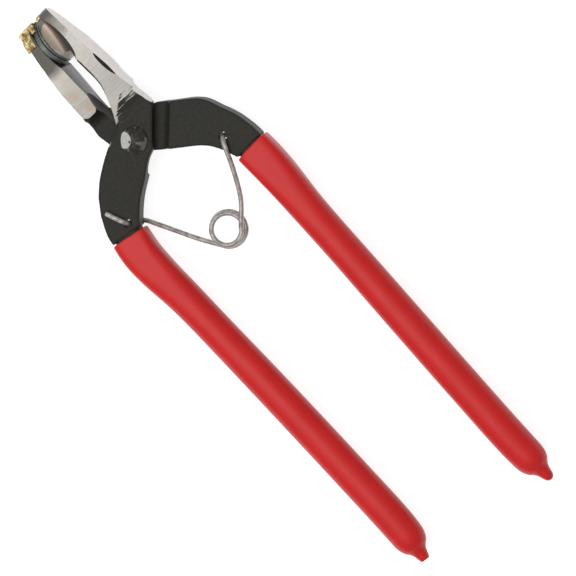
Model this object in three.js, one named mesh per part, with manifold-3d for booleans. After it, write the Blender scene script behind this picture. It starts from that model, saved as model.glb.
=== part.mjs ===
// Carbide-tipped grozing pliers with a half-lap joint, a loop return spring and dipped vinyl grips.
// Every length is in millimetres. The tool lies flat: X runs along it with the jaws at +X, Z is up,
// and the pivot axis is vertical. Shapes are drawn about the pivot, with Z = 0 halfway through the
// joint, and the last lines move the whole tool so that its base rests on Z = 0.

import * as THREE from 'three';
import { mergeVertices } from 'three/addons/utils/BufferGeometryUtils.js';
import Module from 'manifold-3d';

const wasm = await Module();
wasm.setup();

// ---- driving dimensions ----
const HALF_THICK = 3.5;              // half of the levers' thickness at the joint and the arms
const LAP_GAP = 0.05;                // from Z = 0 to each lever's lap face
const STEP_FOOT = 7.9;               // pivot to where each arm starts to thicken past its lap
const STEP_TOP = 10.3;               // pivot to where each arm is fully thick
const ARM_ANGLE = 134.6;             // degrees from +X to the upper lever's arm at the joint
const JAW_FOOT = 10.4;               // X where each jaw starts to rise past its lap
const JAW_RISE = 13.8;               // X where that rise is complete
const RISE_HEIGHT = 4.7;             // the jaws' half-width there
const FILLET_STEPS = 5;              // flats along each rise
const JAW_HALF_WIDTH = 7.5;          // half of the jaws' width along Z
const UPPER_TIP = 46.4;              // X of the upper jaw's end
const LOWER_TIP = 45.3;              // X of the lower jaw's end

const PIN_RADIUS = 2.5;
const PIN_HOLE_RADIUS = 2.56;
const PIN_SIDES = 32;
const HEAD_RADIUS = 4.1;
const HEAD_HEIGHT = 2.1;
const HEAD_GAP = 0.05;
const HEAD_RIM = 0.5;                // the straight part of each head's side
const DOME_STEPS = 4;

const INSERT_CENTRE = 38.1;          // X of the middle of both carbide inserts
const INSERT_HALF_LENGTH = 7.5;
const INSERT_HALF_WIDTH = 7.9;
const INSERT_SEGMENTS = 14;
const BITE_CREST = 36.5;             // X where the bite line bows furthest towards the lower jaw
const BITE_CREST_Y = -0.15;
const BITE_RADIUS = 30;
const BITE_GAP = 0.35;               // between the two inserts with the jaws closed
const UPPER_INSERT_THICK = 0.65;
const LOWER_INSERT_THICK = 1.45;
const BRAZE_FILM = 0.05;             // between an insert and the steel behind it
const PAD_ROOT = -4.4;               // Y where the steel behind the upper insert starts, inside the jaw
const PAD_REACH = 9;                 // from INSERT_CENTRE to past both ends of that steel
const SCOOP_CENTRE = [37.0, -3.05, 8.3];
const SCOOP_HALF_SIZE = [7.8, 1.8, 4.3];
const SCOOP_TURN = 2;                // degrees
const SEAT_START = 30.4;             // X where the lower insert's seat starts
const BRAZE_FROM = 39.5;             // X where the cap of braze on the lower jaw starts
const BRAZE_THICK = 0.6;
const BRAZE_CLEAR = 0.3;             // between the cap and the steel under it
const UPPER_BRAZE_GROWTH = 0.8;      // how far the upper fillet may reach past the jaw's own plan
const UPPER_BRAZE_HALF_WIDTH = 5.6;

const WIRE_RADIUS = 0.75;
const WIRE_CLEAR = 0.15;             // between the wire and the face that it lies over
const WIRE_SIDES = 8;
const WIRE_STEPS = 112;
const COIL_RADIUS = 5.4;             // of the first turn
const COIL_TIGHTENS = 0.9;           // how much smaller the radius is at the end of the last turn
const COIL_CENTRE = [-37.9, -2.3];
const COIL_START = 118;              // degrees
const COIL_END = 959;                // degrees, so the wire makes two turns and a third
const COIL_STEPS = 38;
const COIL_RISE = 3.8;
const HOLE_RADIUS = 1.35;
const HOLE_SIDES = 16;
const UPPER_HOLE = [-16.8, 18.3];
const LOWER_HOLE = [-16.9, -20.7];
const CUT_REACH = 12;                // half the length along Z or Y of everything that cuts right through
const LAP_REACH = 40;                // half the width of the cutters that leave the lap joint

const GRIP_WALL = 1.15;
const GRIP_CLEARANCE = 0.2;
const RIGHT_EXTRA = 1.6;             // how much longer the right grip is than the left
const SECTION_SIDES = 16;
const CORE_START = -2.6;             // from the grip's mouth back to where the steel core starts
const CORE_END = 116;                // from the grip's mouth to the end of the steel core
const MOUTH = 3.8;                   // from the start of each handle's centreline to its grip's mouth

// ---- finishes ----
const BLACK_STEEL = { color: 0x35352f, roughness: 0.45, metalness: 0.9 };
const CARBIDE = { color: 0x7d8580, roughness: 0.35, metalness: 0.8 };
const BRAZE = { color: 0xd9b566, roughness: 0.35, metalness: 1.0 };
const SPRING_STEEL = { color: 0x97918c, roughness: 0.3, metalness: 1.0 };
const RED_VINYL = { color: 0xb5241f, roughness: 0.3, metalness: 0.0 };

// ---- solids and booleans ----
function toSolid(geometry) {
  const bare = geometry.clone();
  bare.deleteAttribute('normal');
  bare.deleteAttribute('uv');
  const merged = mergeVertices(bare, 1e-4);
  const mesh = new wasm.Mesh({
    numProp: 3,
    vertProperties: new Float32Array(merged.attributes.position.array),
    triVerts: new Uint32Array(merged.index.array),
  });
  return new wasm.Manifold(mesh);
}

function toGeometry(solid) {
  const mesh = solid.getMesh();
  const geometry = new THREE.BufferGeometry();
  geometry.setAttribute('position', new THREE.BufferAttribute(mesh.vertProperties, 3));
  geometry.setIndex(new THREE.BufferAttribute(mesh.triVerts, 1));
  geometry.computeVertexNormals();
  return geometry;
}

function vectors(points) {
  return points.map(([x, y]) => new THREE.Vector2(x, y));
}

function outline(points) {
  return new THREE.Shape(vectors(points));
}

// A prism on the XY plane between two heights.
function plate(shape, low, high, curveSegments = 5) {
  const geometry = new THREE.ExtrudeGeometry(shape, {
    depth: high - low,
    bevelEnabled: false,
    curveSegments,
  });
  return toSolid(geometry.translate(0, 0, low));
}

// A prism whose outline is drawn in X and Z, running through all of a jaw's Y.
function sidePrism(shape, curveSegments = 5) {
  const geometry = new THREE.ExtrudeGeometry(shape, {
    depth: 2 * CUT_REACH,
    bevelEnabled: false,
    curveSegments,
  });
  return toSolid(geometry.rotateX(Math.PI / 2).translate(0, CUT_REACH, 0));
}

// A prism whose outline is drawn in distance from the pivot and Z, facing a direction in the XY plane.
function facingPrism(shape, degrees) {
  const turn = THREE.MathUtils.degToRad(degrees);
  const along = new THREE.Vector3(Math.cos(turn), Math.sin(turn), 0);
  const up = new THREE.Vector3(0, 0, 1);
  const across = new THREE.Vector3().crossVectors(along, up);
  const geometry = new THREE.ExtrudeGeometry(shape, { depth: 2 * LAP_REACH, bevelEnabled: false });
  geometry.translate(0, 0, -LAP_REACH);
  geometry.applyMatrix4(new THREE.Matrix4().makeBasis(along, up, across));
  return toSolid(geometry);
}

// A round cutter right through the tool along Z.
function drill(radius, sides, x = 0, y = 0) {
  const geometry = new THREE.CylinderGeometry(radius, radius, 2 * CUT_REACH, sides);
  geometry.rotateX(Math.PI / 2);
  return toSolid(geometry.translate(x, y, 0));
}

// A closed skin through rings of equal point counts, with a flat cap on each end.
function skin(rings) {
  const count = rings[0].length;
  const positions = [];
  const triangles = [];
  for (const ring of rings) {
    for (const point of ring) {
      positions.push(point.x, point.y, point.z);
    }
  }
  for (let r = 0; r + 1 < rings.length; r += 1) {
    for (let i = 0; i < count; i += 1) {
      const a = r * count + i;
      const b = r * count + ((i + 1) % count);
      triangles.push(a, b, b + count, a, b + count, a + count);
    }
  }
  for (let i = 1; i + 1 < count; i += 1) {
    const last = (rings.length - 1) * count;
    triangles.push(0, i + 1, i, last, last + i, last + i + 1);
  }
  const geometry = new THREE.BufferGeometry();
  geometry.setAttribute('position', new THREE.Float32BufferAttribute(positions, 3));
  geometry.setIndex(triangles);
  return geometry;
}

// ---- the bite line between the inserts, seen along the pivot axis ----
function biteY(x) {
  return BITE_CREST_Y - (x - BITE_CREST) ** 2 / (2 * BITE_RADIUS);
}

function biteCurve(offset, from, to, steps = 8) {
  const points = [];
  for (let i = 0; i <= steps; i += 1) {
    const x = from + ((to - from) * i) / steps;
    points.push([x, biteY(x) + offset]);
  }
  return points;
}

const UPPER_FACE = -BITE_GAP / 2;
const UPPER_BACK = UPPER_FACE - UPPER_INSERT_THICK;
const UPPER_SEAT = UPPER_BACK - BRAZE_FILM;
const LOWER_FACE = BITE_GAP / 2;
const LOWER_BACK = LOWER_FACE + LOWER_INSERT_THICK;
const LOWER_SEAT = LOWER_BACK + BRAZE_FILM;

function insertPlan(trim = 0) {
  const halfLength = INSERT_HALF_LENGTH - trim;
  const halfWidth = INSERT_HALF_WIDTH - trim;
  const shape = new THREE.Shape();
  shape.absellipse(INSERT_CENTRE, 0, halfLength, halfWidth, 0, 2 * Math.PI);
  return sidePrism(shape, INSERT_SEGMENTS);
}

function insertPlate(face, back) {
  const from = INSERT_CENTRE - INSERT_HALF_LENGTH - 1;
  const to = INSERT_CENTRE + INSERT_HALF_LENGTH + 1;
  const edge = [...biteCurve(face, from, to), ...biteCurve(back, from, to).reverse()];
  return plate(outline(edge), -CUT_REACH, CUT_REACH).intersect(insertPlan());
}

// ---- jaws ----
// Half of a jaw's width along Z, from the joint out to the tip.
function jawPlan(tip, grow = 0) {
  const side = [
    [8, HALF_THICK],
    [14, 4.7],
    [21, 6.4],
    [27, 7.3],
    [33, JAW_HALF_WIDTH],
    [tip - 2.4, JAW_HALF_WIDTH],
    [tip - 0.7, JAW_HALF_WIDTH - 0.8],
    [tip, JAW_HALF_WIDTH - 2.4],
  ];
  const grown = side.map(([x, z]) => [x + (x > tip - 2 ? grow : 0), z + grow]);
  const mirrored = grown.map(([x, z]) => [x, -z]).reverse();
  return outline([...mirrored, ...grown]);
}

function upperJaw() {
  const bar = plate(
    outline([
      [8, -10.6],
      [17.7, -9.85],
      [21.7, -9.8],
      [31.2, -9.0],
      [UPPER_TIP, -6.7],
      [UPPER_TIP - 0.4, PAD_ROOT + 0.8],
      [29, -4.05],
      [20.5, -4.2],
      [18, -3.9],
      [15.3, -3.0],
      [11, -1.2],
      [8, 0.4],
    ].reverse()),
    -CUT_REACH,
    CUT_REACH,
  );
  const padStart = INSERT_CENTRE - PAD_REACH;
  const padEnd = INSERT_CENTRE + PAD_REACH;
  const padEdge = [...biteCurve(UPPER_SEAT, padStart, padEnd), [padEnd, PAD_ROOT], [padStart, PAD_ROOT]];
  const pad = plate(outline(padEdge), -CUT_REACH, CUT_REACH).intersect(insertPlan(0.1));
  return bar.intersect(sidePrism(jawPlan(UPPER_TIP))).add(pad);
}

// The hollow ground into one side of the upper jaw, just behind the lip that backs the insert.
function scoop(side) {
  const [x, y, z] = SCOOP_CENTRE;
  const ball = new THREE.SphereGeometry(1, 20, 12);
  ball.scale(...SCOOP_HALF_SIZE);
  ball.rotateZ(THREE.MathUtils.degToRad(SCOOP_TURN));
  return toSolid(ball.translate(x, y, side * z));
}

function lowerJaw() {
  const seat = biteCurve(LOWER_SEAT, SEAT_START, LOWER_TIP);
  const bar = plate(
    outline([
      [8, -1.0],
      [12.5, 0.6],
      [21, 0.9],
      [SEAT_START - 0.4, 0.9],
      ...seat,
      [LOWER_TIP, 3.3],
      [38, 4.7],
      [24, 6.4],
      [14, 7.0],
      [8, 8.1],
    ]),
    -CUT_REACH,
    CUT_REACH,
  );
  return bar.intersect(sidePrism(jawPlan(LOWER_TIP)));
}

// ---- the half-lap joint ----
// The space that one lever leaves for the other. side is +1 to clear the upper half, -1 the lower.
function lapSpace(side, armDegrees) {
  const profile = (foot, top, height) => {
    const points = [[-LAP_REACH, -LAP_GAP]];
    for (let i = 0; i <= FILLET_STEPS; i += 1) {
      const turn = (i / FILLET_STEPS) * (Math.PI / 2);
      points.push([foot + (top - foot) * Math.sin(turn), height - (height + LAP_GAP) * Math.cos(turn)]);
    }
    points.push([top, CUT_REACH], [-LAP_REACH, CUT_REACH]);
    return outline(points.map(([out, z]) => [out, side * z]));
  };
  const towardsArm = facingPrism(profile(STEP_FOOT, STEP_TOP, HALF_THICK), armDegrees);
  const towardsJaw = facingPrism(profile(JAW_FOOT, JAW_RISE, RISE_HEIGHT), 0);
  return towardsArm.intersect(towardsJaw);
}

// ---- handle cores and grips ----
const LEFT_LINE = [
  [-16, 20.6],
  [-19.4, 21.05],
  [-26, 22.0],
  [-33, 22.0],
  [-44, 21.2],
  [-62, 20.6],
  [-85, 20.0],
  [-115, 19.5],
  [-138, 19.4],
  [-149.5, 20.3],
];
const RIGHT_LINE = [
  [-21, -24.4],
  [-24.5, -24.7],
  [-31, -25.0],
  [-38, -25.0],
  [-50, -24.6],
  [-68, -24.4],
  [-92, -24.0],
  [-120, -23.6],
  [-143, -23.5],
  [-158, -24.3],
];
// Width across, thickness along Z and squareness of the grip's section, against length from its mouth.
const GRIP_SECTIONS = [
  [0, 11.5, 9.0, 4.2],
  [5, 11.9, 9.5, 4.0],
  [12, 11.7, 9.6, 3.6],
  [22, 10.6, 9.6, 3.0],
  [34, 10.3, 9.6, 2.7],
  [60, 10.5, 9.6, 2.5],
  [95, 10.6, 9.6, 2.4],
  [119, 10.4, 9.5, 2.3],
  [122.6, 9.8, 9.0, 2.2],
  [124.8, 8.0, 7.6, 2.1],
  [126.0, 5.6, 5.4, 2.0],
  [126.9, 4.3, 4.2, 2.0],
  [129.3, 3.6, 3.6, 2.0],
  [130.6, 1.9, 1.9, 2.0],
];
const LAST_STRAIGHT = 60;            // a grip is lengthened past this distance from its mouth

function smoothPath(points) {
  return new THREE.CatmullRomCurve3(points, false, 'centripetal');
}

function centreline(points) {
  return smoothPath(points.map(([x, y]) => new THREE.Vector3(x, y, 0)));
}

function sectionAt(distance) {
  let i = 0;
  while (i + 2 < GRIP_SECTIONS.length && GRIP_SECTIONS[i + 1][0] < distance) {
    i += 1;
  }
  const [d0, ...a] = GRIP_SECTIONS[i];
  const [d1, ...b] = GRIP_SECTIONS[i + 1];
  const part = THREE.MathUtils.clamp((distance - d0) / (d1 - d0), 0, 1);
  return a.map((value, k) => value + (b[k] - value) * part);
}

// One section of a handle, at a distance from its grip's mouth.
function ringAt(curve, distance, width, thickness, squareness) {
  const share = Math.min((MOUTH + distance) / curve.getLength(), 1);
  const middle = curve.getPointAt(share);
  const along = curve.getTangentAt(share);
  const across = new THREE.Vector3(-along.y, along.x, 0);
  const ring = [];
  for (let i = 0; i < SECTION_SIDES; i += 1) {
    const turn = ((i + 0.5) / SECTION_SIDES) * 2 * Math.PI;
    const c = Math.cos(turn);
    const s = Math.sin(turn);
    const reach = (Math.abs(c) ** squareness + Math.abs(s) ** squareness) ** (-1 / squareness);
    const point = middle.clone().addScaledVector(across, (c * reach * width) / 2);
    point.z = (s * reach * thickness) / 2;
    ring.push(point);
  }
  return ring;
}

// A bar along the handle that is smaller than the grip by a margin all round.
function handleBar(curve, from, to, margin) {
  const inside = GRIP_SECTIONS.map(([d]) => d).filter((d) => d > from + 2 && d < to - 2);
  const rings = [from, ...inside, to].map((d) => {
    const [width, thickness, squareness] = sectionAt(Math.max(d, 0));
    return ringAt(curve, d, width - 2 * margin, thickness - 2 * margin, squareness);
  });
  return toSolid(skin(rings));
}

function core(curve) {
  return handleBar(curve, CORE_START, CORE_END, GRIP_WALL);
}

function gripBody(curve, stretch) {
  const rings = GRIP_SECTIONS.map(([d, ...size]) => {
    const distance = d > LAST_STRAIGHT ? d + stretch : d;
    return ringAt(curve, distance, ...size);
  });
  const bore = handleBar(curve, CORE_START + 1.1, CORE_END + 0.5, GRIP_WALL - GRIP_CLEARANCE);
  return toSolid(skin(rings)).subtract(bore);
}

const LEFT_CURVE = centreline(LEFT_LINE);
const RIGHT_CURVE = centreline(RIGHT_LINE);

// ---- levers ----
// Seen along the pivot: the arm's outer edge, the boss, the flat against the other arm and the inner edge.
function upperPlan() {
  const shape = new THREE.Shape();
  shape.moveTo(-18.6, 26.1);
  shape.lineTo(-19.7, 15.9);
  shape.splineThru(vectors([[-17.9, 14.7], [-13.9, 10.4], [-10.6, 5.5], [-7.0, 0.8], [-5.8, -2.1]]));
  shape.lineTo(3.3, -10.6);
  shape.splineThru(vectors([[4.0, -10.9], [5.2, -11.7], [7.4, -11.8], [9.4, -11.4], [13, -10.6]]));
  shape.lineTo(17.7, -9.85);
  shape.lineTo(17.7, -3.9);
  shape.splineThru(vectors([[15.3, -3.0], [11, -1.2], [8.4, 0.2], [5.8, 2.1]]));
  shape.splineThru(vectors([[3.8, 7.2], [-1.2, 15.4], [-5.1, 19.7]]));
  shape.splineThru(vectors([[-9.9, 23.1], [-15.5, 25.6], [-18.6, 26.1]]));
  return shape;
}

// The same for the other lever, starting on its arm's inner edge.
function lowerPlan() {
  const shape = new THREE.Shape();
  shape.moveTo(-24.6, -19.7);
  shape.lineTo(-24.2, -29.6);
  shape.splineThru(vectors([[-20.3, -29.3], [-14.8, -28.1], [-10.2, -26.2], [-4.4, -23.4]]));
  shape.splineThru(vectors([[1.2, -16.1], [4.1, -11.9]]));
  shape.splineThru(vectors([[6.2, -7.0], [8.5, -2.2], [12.5, 0.6]]));
  shape.lineTo(16, 0.9);
  shape.lineTo(16, 7.0);
  shape.lineTo(13.7, 7.3);
  shape.splineThru(vectors([[8.6, 8.1], [3.8, 7.2], [-1.5, 6.7], [-4.4, 5.4], [-6.0, 3.9], [-6.6, 2.4]]));
  shape.splineThru(vectors([[-6.2, 0.9], [-5.4, -1.0], [-7.4, -3.6]]));
  shape.splineThru(vectors([[-10.9, -8.8], [-15.5, -14.9], [-19.7, -17.7], [-24.6, -19.7]]));
  return shape;
}

function upperLever() {
  const body = plate(upperPlan(), -HALF_THICK, HALF_THICK)
    .add(upperJaw())
    .subtract(scoop(1))
    .subtract(scoop(-1))
    .subtract(lapSpace(-1, ARM_ANGLE))
    .add(core(LEFT_CURVE))
    .subtract(drill(PIN_HOLE_RADIUS, PIN_SIDES))
    .subtract(drill(HOLE_RADIUS, HOLE_SIDES, ...UPPER_HOLE));
  return toGeometry(body);
}

function lowerLever() {
  const body = plate(lowerPlan(), -HALF_THICK, HALF_THICK)
    .add(lowerJaw())
    .subtract(lapSpace(1, -ARM_ANGLE))
    .add(core(RIGHT_CURVE))
    .subtract(drill(PIN_HOLE_RADIUS, PIN_SIDES))
    .subtract(drill(HOLE_RADIUS, HOLE_SIDES, ...LOWER_HOLE));
  return toGeometry(body);
}

// ---- pivot rivet: a straight pin with a domed head peened over on each side ----
function rivet() {
  const seat = HALF_THICK + HEAD_GAP;
  const dome = [];
  for (let i = 0; i <= DOME_STEPS; i += 1) {
    const turn = (i / DOME_STEPS) * (Math.PI / 2);
    dome.push([HEAD_RADIUS * Math.cos(turn), seat + HEAD_RIM + (HEAD_HEIGHT - HEAD_RIM) * Math.sin(turn)]);
  }
  const half = [[PIN_RADIUS, seat], [HEAD_RADIUS, seat], ...dome];
  half[half.length - 1][0] = 0;
  const bottom = half.map(([r, z]) => [r, -z]).reverse();
  const lathe = new THREE.LatheGeometry(vectors([...bottom, ...half]), PIN_SIDES);
  return toGeometry(toSolid(lathe.rotateX(Math.PI / 2)));
}

// ---- braze ----
// A cap over the lower jaw's end: its outer face, its end and both sides, up to the insert's back.
function lowerBraze() {
  const block = (grow) => {
    const edge = [
      [BRAZE_FROM, 1.75],
      [LOWER_TIP + grow, 0.4],
      [LOWER_TIP + grow, 3.3 + grow],
      [BRAZE_FROM, 4.4 + grow],
    ];
    return plate(outline(edge), -CUT_REACH, CUT_REACH).intersect(sidePrism(jawPlan(LOWER_TIP, grow)));
  };
  return block(BRAZE_CLEAR + BRAZE_THICK).subtract(block(BRAZE_CLEAR));
}

// A fillet of braze down the upper jaw's end face to the tip of its insert.
function upperBraze() {
  const edge = [
    [UPPER_TIP + 0.3, -5.2],
    [UPPER_TIP + 0.7, -4.6],
    [UPPER_TIP + 0.4, -3.2],
    [UPPER_TIP + 0.15, -2.2],
    [UPPER_TIP - 0.3, -1.75],
    [UPPER_TIP - 0.45, -2.1],
    [UPPER_TIP - 0.05, -3.2],
    [UPPER_TIP + 0.3, -3.5],
  ];
  const plan = sidePrism(jawPlan(UPPER_TIP, UPPER_BRAZE_GROWTH));
  return plate(outline(edge), -UPPER_BRAZE_HALF_WIDTH, UPPER_BRAZE_HALF_WIDTH).intersect(plan);
}

// ---- spring ----
// The wire lies over the upper lever's near face, passes down through its hole, runs behind it to the
// coil, and leaves the coil in front of the lower lever, where it goes through and is bent over.
function springPoints() {
  const out = HALF_THICK + WIRE_RADIUS + WIRE_CLEAR;
  const [ux, uy] = UPPER_HOLE;
  const [lx, ly] = LOWER_HOLE;
  const points = [
    [ux + 6.7, uy + 2.7, out],
    [ux + 3.6, uy + 1.5, out],
    [ux + 1.0, uy + 0.4, out - 0.1],
    [ux, uy, out - 1.5],
    [ux, uy, 0],
    [ux, uy, 1.5 - out],
    [ux - 0.7, uy - 1.1, -out],
    [-19.1, 15.0, -out - 0.1],
    [-22.7, 13.5, -4.0],
    [-28.7, 10.4, -2.9],
    [-34.0, 6.8, -1.8],
  ];
  for (let i = 0; i <= COIL_STEPS; i += 1) {
    const part = i / COIL_STEPS;
    const turn = THREE.MathUtils.degToRad(COIL_START + (COIL_END - COIL_START) * part);
    const radius = COIL_RADIUS - COIL_TIGHTENS * part;
    const x = COIL_CENTRE[0] + radius * Math.cos(turn);
    const y = COIL_CENTRE[1] + radius * Math.sin(turn);
    points.push([x, y, COIL_RISE * (part - 0.5)]);
  }
  points.push(
    [-34.3, -11.6, 1.9],
    [-26.6, -16.2, 3.5],
    [-20.8, -18.9, out],
    [lx - 1.0, ly + 0.5, out - 0.1],
    [lx, ly, out - 1.5],
    [lx, ly, 0],
    [lx, ly, 1.5 - out],
    [lx + 1.0, ly - 0.4, 0.1 - out],
    [lx + 3.6, ly - 1.5, -out],
    [lx + 6.7, ly - 2.7, -out],
  );
  return points.map(([x, y, z]) => new THREE.Vector3(x, y, z));
}

function spring() {
  const section = new THREE.Shape();
  for (let i = 0; i < WIRE_SIDES; i += 1) {
    const turn = ((i + 0.5) / WIRE_SIDES) * 2 * Math.PI;
    const step = i === 0 ? 'moveTo' : 'lineTo';
    section[step](WIRE_RADIUS * Math.cos(turn), WIRE_RADIUS * Math.sin(turn));
  }
  const geometry = new THREE.ExtrudeGeometry(section, {
    steps: WIRE_STEPS,
    extrudePath: smoothPath(springPoints()),
    bevelEnabled: false,
  });
  return toGeometry(toSolid(geometry));
}

// ---- assembly ----
const tool = new THREE.Group();

function add(name, geometry, finish) {
  const mesh = new THREE.Mesh(geometry, new THREE.MeshStandardMaterial(finish));
  mesh.name = name;
  tool.add(mesh);
  return mesh;
}

add('upper_jaw_lever', upperLever(), BLACK_STEEL);
add('lower_jaw_lever', lowerLever(), BLACK_STEEL);
add('pivot_rivet', rivet(), BLACK_STEEL);
add('upper_carbide_insert', toGeometry(insertPlate(UPPER_FACE, UPPER_BACK)), CARBIDE);
add('lower_carbide_insert', toGeometry(insertPlate(LOWER_FACE, LOWER_BACK)), CARBIDE);
add('upper_braze', toGeometry(upperBraze()), BRAZE);
add('lower_braze', toGeometry(lowerBraze()), BRAZE);
add('return_spring', spring(), SPRING_STEEL);
add('left_grip', toGeometry(gripBody(LEFT_CURVE, 0)), RED_VINYL);
add('right_grip', toGeometry(gripBody(RIGHT_CURVE, RIGHT_EXTRA)), RED_VINYL);

// The origin is at the middle of the underside of the box that holds the whole tool.
const box = new THREE.Box3().setFromObject(tool);
const middle = box.getCenter(new THREE.Vector3());
tool.position.set(-middle.x, -middle.y, -box.min.z);

const group = new THREE.Group();
group.add(tool);
export default group;
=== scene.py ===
"""Carbide-tipped grozing pliers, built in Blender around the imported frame.

Every piece is drawn in millimetres about the middle of the joint, with X towards the jaws and Z up
the pivot, and is moved into the frame, in metres, when its mesh is done.
"""

import math

import bmesh
import bpy
import numpy as np
from mathutils import Matrix, Vector, noise


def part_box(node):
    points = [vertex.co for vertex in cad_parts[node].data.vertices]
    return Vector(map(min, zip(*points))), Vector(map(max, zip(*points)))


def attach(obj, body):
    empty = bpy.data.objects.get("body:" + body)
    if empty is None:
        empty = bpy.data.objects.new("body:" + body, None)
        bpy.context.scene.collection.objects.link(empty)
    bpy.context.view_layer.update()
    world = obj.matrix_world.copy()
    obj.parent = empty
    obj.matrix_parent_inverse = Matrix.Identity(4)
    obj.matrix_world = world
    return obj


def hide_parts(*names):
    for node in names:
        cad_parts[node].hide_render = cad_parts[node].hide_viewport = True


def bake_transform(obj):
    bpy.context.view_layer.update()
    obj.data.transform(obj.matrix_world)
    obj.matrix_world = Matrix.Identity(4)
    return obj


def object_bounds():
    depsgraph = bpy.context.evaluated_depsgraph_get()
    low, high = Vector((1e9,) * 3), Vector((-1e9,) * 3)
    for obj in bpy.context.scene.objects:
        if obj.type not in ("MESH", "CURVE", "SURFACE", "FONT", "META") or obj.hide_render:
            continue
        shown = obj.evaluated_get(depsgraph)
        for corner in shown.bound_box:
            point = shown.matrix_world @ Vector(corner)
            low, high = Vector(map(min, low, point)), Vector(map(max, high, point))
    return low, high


bl_info = {
    "name": "Grozing Pliers",
    "version": (1, 0, 0),
    "blender": (4, 5, 0),
    "location": "View3D > Sidebar > Pliers",
    "description": "Makes the levers, tips, rivet, spring and grips of a pair of grozing pliers",
    "category": "Add Mesh",
}

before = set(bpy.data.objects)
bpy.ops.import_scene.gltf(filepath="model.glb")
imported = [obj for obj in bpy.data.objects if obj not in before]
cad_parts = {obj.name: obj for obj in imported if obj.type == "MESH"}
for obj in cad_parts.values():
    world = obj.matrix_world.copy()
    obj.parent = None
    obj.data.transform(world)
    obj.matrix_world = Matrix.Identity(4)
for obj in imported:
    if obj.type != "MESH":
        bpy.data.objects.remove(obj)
CAD_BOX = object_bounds()

MM = 0.001
PIN_LOW, PIN_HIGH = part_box("pivot_rivet")
PIVOT = (PIN_LOW + PIN_HIGH) / 2
HEAD_TOP = (PIN_HIGH.z - PIN_LOW.z) / 2 / MM
HEAD_RADIUS = (PIN_HIGH.x - PIN_LOW.x) / 2 / MM

UPPER, LOWER = "upper_lever", "lower_lever"

# ---- what a face of a lever is finished like, kept on each face as a number ----
FORGED, GROUND, POLISHED, TINT_AND_SHADE, BRUSHED, SCORCHED, SUNK = range(7)

# ---- sizes shared by several pieces, in millimetres ----
HALF_THICK = 3.5  # half the levers' thickness at the joint
LAP_GAP = 0.05
ARM_ANGLE = 134.6  # degrees from +X to the upper lever's arm
STEP_FOOT, STEP_TOP = 7.9, 10.3  # pivot to the foot and the top of the arm's step
JAW_FOOT, JAW_RISE = 10.4, 13.8  # X of the foot and the top of the jaw's step
JAW_HALF_WIDTH = 7.5
UPPER_TIP, LOWER_TIP = 46.4, 45.3
INSERT_CENTRE, INSERT_HALF_LENGTH, INSERT_HALF_WIDTH = 38.1, 7.5, 7.9
BITE_CREST, BITE_CREST_Y, BITE_RADIUS = 36.5, -0.15, 30.0
UPPER_FACE, UPPER_BACK = -0.08, -0.825  # the upper insert's two faces, from the bite line
LOWER_FACE, LOWER_BACK = 0.08, 1.625
LAND_END, LAND_HALF_WIDTH = (16.6, 4.05), 3.15  # the round end of the lower jaw's ground side
WIRE_RADIUS = 0.75
COIL_CENTRE, COIL_RADIUS, COIL_TIGHTENS = (-37.9, -2.3), 5.4, 0.9
COIL_START, COIL_TURN = 118, 841  # degrees: where the coil starts, and how far round it goes
COIL_STEPS, COIL_RISE = 76, 3.8
HOLE_RADIUS = 1.35
UPPER_HOLE, LOWER_HOLE = (-16.8, 18.3), (-16.9, -20.7)
GRIP_WALL = 1.15
GRIP_START = 3.8  # from the start of a handle's centreline to the grip's mouth
CORE_END = 116.0
RIGHT_EXTRA = 1.6  # how much longer the right grip is

# The groove under the upper jaw's near edge, from the insert to the joint.
INNER_EDGE = [
    (29.5, -3.85, 7.9), (26, -4.0, 7.35), (22, -4.05, 6.6),
    (18.5, -3.65, 5.85), (16, -2.65, 5.35), (14.5, -1.8, 5.1),
]
LEFT_LINE = [
    (-16, 20.6), (-19.4, 21.05), (-26, 22), (-33, 22), (-44, 21.2),
    (-62, 20.6), (-85, 20), (-115, 19.5), (-138, 19.4), (-149.5, 20.3),
]
RIGHT_LINE = [
    (-21, -24.4), (-24.5, -24.7), (-31, -25), (-38, -25), (-50, -24.6),
    (-68, -24.4), (-92, -24), (-120, -23.6), (-143, -23.5), (-158, -24.3),
]
# Length from the mouth, width across, thickness along Z and squareness of a grip's section.
GRIP_SECTIONS = [
    (0, 11.4, 9.0, 4.4), (5, 11.5, 9.5, 4.0), (12, 11.3, 9.6, 3.2), (22, 10.6, 9.6, 2.5),
    (34, 10.3, 9.6, 2.15), (60, 10.5, 9.6, 2.1), (95, 10.6, 9.6, 2.1), (119, 10.4, 9.5, 2.05),
    (122.6, 9.8, 9.0, 2.0), (124.8, 8.0, 7.6, 2.0), (126, 5.9, 5.7, 2.0), (127, 4.6, 4.5, 2.0),
    (128.2, 3.8, 3.8, 2.0), (129.4, 3.1, 3.1, 2.0), (130.2, 2.1, 2.1, 2.0), (130.6, 0.6, 0.6, 2.0),
]

# ---- the view ----
VIEW_BACK = (-0.05, -0.2126, 0.976)  # from the tool towards the camera
VIEW_SLANT = 132.1  # degrees that the tool is turned by in the view
VIEW_WIDTH = 170.2
VIEW_RIGHT, VIEW_UP = 45.5, -43.6  # from the pivot to the middle of the view


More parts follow.
